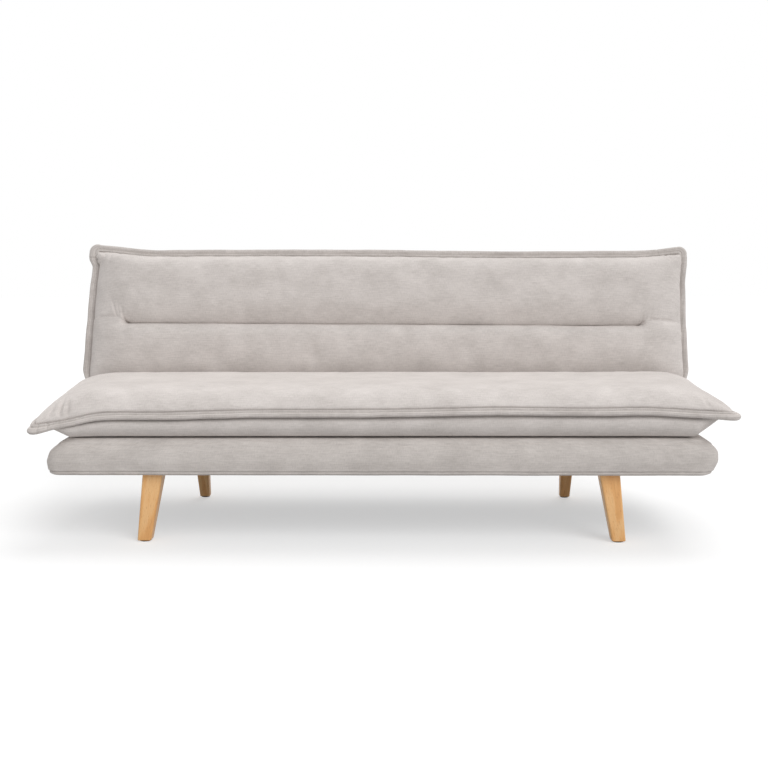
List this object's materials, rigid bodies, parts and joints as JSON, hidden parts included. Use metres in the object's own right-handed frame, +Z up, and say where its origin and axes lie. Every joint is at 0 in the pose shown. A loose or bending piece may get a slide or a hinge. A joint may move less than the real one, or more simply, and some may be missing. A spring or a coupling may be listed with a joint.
{
  "type": "click clack sofa bed",
  "caption": "Upholstered sofa whose back folds flat on ratchet hinges to make a bed, with flanged pillows on padded boxes and splayed tapered wooden legs.",
  "frame": {"origin": "on the floor under the middle of the upright sofa's outline", "axes": "+X to the right as seen from the front, +Y to the rear, +Z up"},
  "size_m": [1.95, 0.8628, 0.8174],
  "materials": {
    "pillow_fabric": "soft ribbed weave",
    "box_fabric": "soft ribbed weave",
    "leg_wood": "clear satin lacquer",
    "frame_timber": "planed",
    "spring_wire": "oiled",
    "hinge_steel": "zinc plated",
    "dust_cloth": "matte non-woven",
    "glide_nylon": "moulded"
  },
  "bodies": {
    "seat": {"seat_left_rail": "frame_timber", "seat_right_rail": "frame_timber", "seat_rear_rail": "frame_timber", "seat_front_rail": "frame_timber", "seat_centre_rail": "frame_timber", "seat_left_stretcher": "frame_timber", "seat_right_stretcher": "frame_timber", "seat_spring_1": "spring_wire", "seat_spring_2": "spring_wire", "seat_spring_3": "spring_wire", "seat_spring_4": "spring_wire", "seat_spring_5": "spring_wire", "seat_deck_pad": "box_fabric", "seat_dust_cover": "dust_cloth", "seat_front_padding": "box_fabric", "seat_rear_padding": "box_fabric", "seat_left_padding": "box_fabric", "seat_right_padding": "box_fabric", "front_left_leg": "leg_wood", "front_left_leg_bolt": "hinge_steel", "front_left_glide": "glide_nylon", "rear_left_leg": "leg_wood", "rear_left_leg_bolt": "hinge_steel", "rear_left_glide": "glide_nylon", "front_right_leg": "leg_wood", "front_right_leg_bolt": "hinge_steel", "front_right_glide": "glide_nylon", "rear_right_leg": "leg_wood", "rear_right_leg_bolt": "hinge_steel", "rear_right_glide": "glide_nylon", "seat_pillow": "pillow_fabric", "seat_hinge_plate_left": "hinge_steel", "hinge_pin_left": "hinge_steel", "seat_hinge_plate_right": "hinge_steel", "hinge_pin_right": "hinge_steel"},
    "back": {"back_left_rail": "frame_timber", "back_right_rail": "frame_timber", "back_bottom_rail": "frame_timber", "back_top_rail": "frame_timber", "back_centre_rail": "frame_timber", "back_spring_1": "spring_wire", "back_spring_2": "spring_wire", "back_spring_3": "spring_wire", "back_deck_pad": "box_fabric", "back_rear_cover": "box_fabric", "back_top_padding": "box_fabric", "back_bottom_padding": "box_fabric", "back_left_padding": "box_fabric", "back_right_padding": "box_fabric", "back_pillow": "pillow_fabric", "back_hinge_arm_left": "hinge_steel", "pawl_rivet_left": "hinge_steel", "pawl_spring_left": "spring_wire", "back_hinge_arm_right": "hinge_steel", "pawl_rivet_right": "hinge_steel", "pawl_spring_right": "spring_wire"},
    "pawl_left": {"ratchet_pawl_left": "hinge_steel"},
    "pawl_right": {"ratchet_pawl_right": "hinge_steel"}
  },
  "joints": [
    {"name": "back_recline", "type": "hinge", "parent": "seat", "child": "back", "pos_m": [0, 0.17957, 0.313], "axis": [-1, 0, 0], "range_deg": [-8, 72.5]},
    {"name": "pawl_left_click", "type": "hinge", "parent": "back", "child": "pawl_left", "pos_m": [-0.8873, 0.22514, 0.33114], "axis": [1, 0, 0], "range_deg": [-12, 0], "stiffness_Nm_per_rad": 0.05, "springref_deg": -14.32},
    {"name": "pawl_right_click", "type": "hinge", "parent": "back", "child": "pawl_right", "pos_m": [0.8873, 0.22514, 0.33114], "axis": [1, 0, 0], "range_deg": [-12, 0], "stiffness_Nm_per_rad": 0.05, "springref_deg": -14.32}
  ]
}
